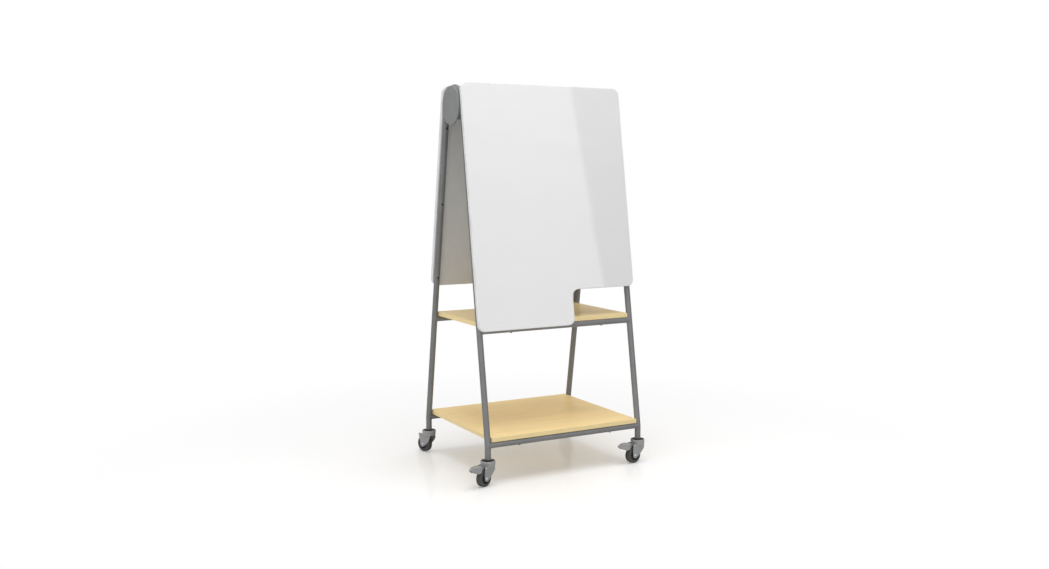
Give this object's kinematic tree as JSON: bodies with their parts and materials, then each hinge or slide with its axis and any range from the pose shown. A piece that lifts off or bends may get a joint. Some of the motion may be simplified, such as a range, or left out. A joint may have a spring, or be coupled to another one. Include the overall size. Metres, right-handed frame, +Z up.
{
  "type": "rolling whiteboard",
  "caption": "Free-standing whiteboard on casters: two L-shaped glossy boards lean on bent tube side frames, with a plywood shelf under them and another near the floor.",
  "frame": {"origin": "on the floor, midway between the four caster stems", "axes": "+X along the boards, to the right of somebody who faces the front board; +Y to the rear board; +Z up"},
  "size_m": [0.8671, 0.6998, 1.6204],
  "materials": {
    "frame_paint": "satin grey powder coat",
    "cap_grey": "satin grey",
    "maple_plywood": "clear satin lacquer",
    "board_core": "bare particle board",
    "writing_face": "high gloss",
    "board_back": "matt",
    "board_edging": "satin",
    "black_screw": "black oxide",
    "bright_steel": "zinc plated",
    "fork_metal": "satin silver grey",
    "black_plastic": "moulded",
    "tyre_rubber": "dark grey rubber"
  },
  "bodies": {
    "frame": {"side_frame_left": "frame_paint", "side_frame_right": "frame_paint", "lower_bar_front": "frame_paint", "lower_bar_rear": "frame_paint", "upper_bar_front": "frame_paint", "upper_bar_rear": "frame_paint", "lower_shelf": "maple_plywood", "upper_shelf": "maple_plywood", "shelf_screws": "black_screw", "top_beam": "frame_paint", "beam_plate_left": "frame_paint", "beam_plate_right": "frame_paint", "end_cap_left": "cap_grey", "end_cap_right": "cap_grey", "hub_screws": "bright_steel", "hub_rivet_nuts": "bright_steel", "front_board_core": "board_core", "front_board_face": "writing_face", "front_board_back": "board_back", "front_board_edging": "board_edging", "rear_board_core": "board_core", "rear_board_face": "writing_face", "rear_board_back": "board_back", "rear_board_edging": "board_edging", "board_screws": "black_screw", "board_inserts": "bright_steel", "leg_sockets": "black_plastic", "swivel_balls": "bright_steel", "stem_front_left": "bright_steel", "dust_cover_front_left": "black_plastic", "stem_front_right": "bright_steel", "dust_cover_front_right": "black_plastic", "stem_rear_left": "bright_steel", "dust_cover_rear_left": "black_plastic", "stem_rear_right": "bright_steel", "dust_cover_rear_right": "black_plastic"},
    "swivel_front_left": {"fork_front_left": "fork_metal", "axle_front_left": "bright_steel", "pedal_pin_front_left": "bright_steel"},
    "roller_front_left": {"wheel_front_left": "black_plastic", "tyre_front_left": "tyre_rubber"},
    "brake_front_left": {"pedal_front_left": "fork_metal", "brake_shoe_front_left": "black_plastic"},
    "swivel_front_right": {"fork_front_right": "fork_metal", "axle_front_right": "bright_steel", "pedal_pin_front_right": "bright_steel"},
    "roller_front_right": {"wheel_front_right": "black_plastic", "tyre_front_right": "tyre_rubber"},
    "brake_front_right": {"pedal_front_right": "fork_metal", "brake_shoe_front_right": "black_plastic"},
    "swivel_rear_left": {"fork_rear_left": "fork_metal", "axle_rear_left": "bright_steel"},
    "roller_rear_left": {"wheel_rear_left": "black_plastic", "tyre_rear_left": "tyre_rubber"},
    "swivel_rear_right": {"fork_rear_right": "fork_metal", "axle_rear_right": "bright_steel"},
    "roller_rear_right": {"wheel_rear_right": "black_plastic", "tyre_rear_right": "tyre_rubber"}
  },
  "joints": [
    {"name": "swivel_front_left_turn", "type": "hinge", "parent": "frame", "child": "swivel_front_left", "pos_m": [-0.3655, -0.2935, 0.09], "axis": [0, 0, 1], "continuous": true},
    {"name": "roller_front_left_spin", "type": "hinge", "parent": "swivel_front_left", "child": "roller_front_left", "pos_m": [-0.39017, -0.30448, 0.035], "axis": [-0.4067, 0.9135, 0], "continuous": true},
    {"name": "brake_front_left_press", "type": "hinge", "parent": "swivel_front_left", "child": "brake_front_left", "pos_m": [-0.40021, -0.30896, 0.08], "axis": [0.4067, -0.9135, 0], "range_deg": [0, 12], "stiffness_Nm_per_rad": 2},
    {"name": "swivel_front_right_turn", "type": "hinge", "parent": "frame", "child": "swivel_front_right", "pos_m": [0.3655, -0.2935, 0.09], "axis": [0, 0, 1], "continuous": true},
    {"name": "roller_front_right_spin", "type": "hinge", "parent": "swivel_front_right", "child": "roller_front_right", "pos_m": [0.33883, -0.29772, 0.035], "axis": [-0.1564, 0.9877, 0], "continuous": true},
    {"name": "brake_front_right_press", "type": "hinge", "parent": "swivel_front_right", "child": "brake_front_right", "pos_m": [0.32797, -0.29944, 0.08], "axis": [0.1564, -0.9877, 0], "range_deg": [0, 12], "stiffness_Nm_per_rad": 2},
    {"name": "swivel_rear_left_turn", "type": "hinge", "parent": "frame", "child": "swivel_rear_left", "pos_m": [-0.3655, 0.2935, 0.09], "axis": [0, 0, 1], "continuous": true},
    {"name": "roller_rear_left_spin", "type": "hinge", "parent": "swivel_rear_left", "child": "roller_rear_left", "pos_m": [-0.37473, 0.31887, 0.035], "axis": [0.9397, 0.342, 0], "continuous": true},
    {"name": "swivel_rear_right_turn", "type": "hinge", "parent": "frame", "child": "swivel_rear_right", "pos_m": [0.3655, 0.2935, 0.09], "axis": [0, 0, 1], "continuous": true},
    {"name": "roller_rear_right_spin", "type": "hinge", "parent": "swivel_rear_right", "child": "roller_rear_right", "pos_m": [0.36362, 0.32043, 0.035], "axis": [0.9976, 0.0698, 0], "continuous": true}
  ]
}
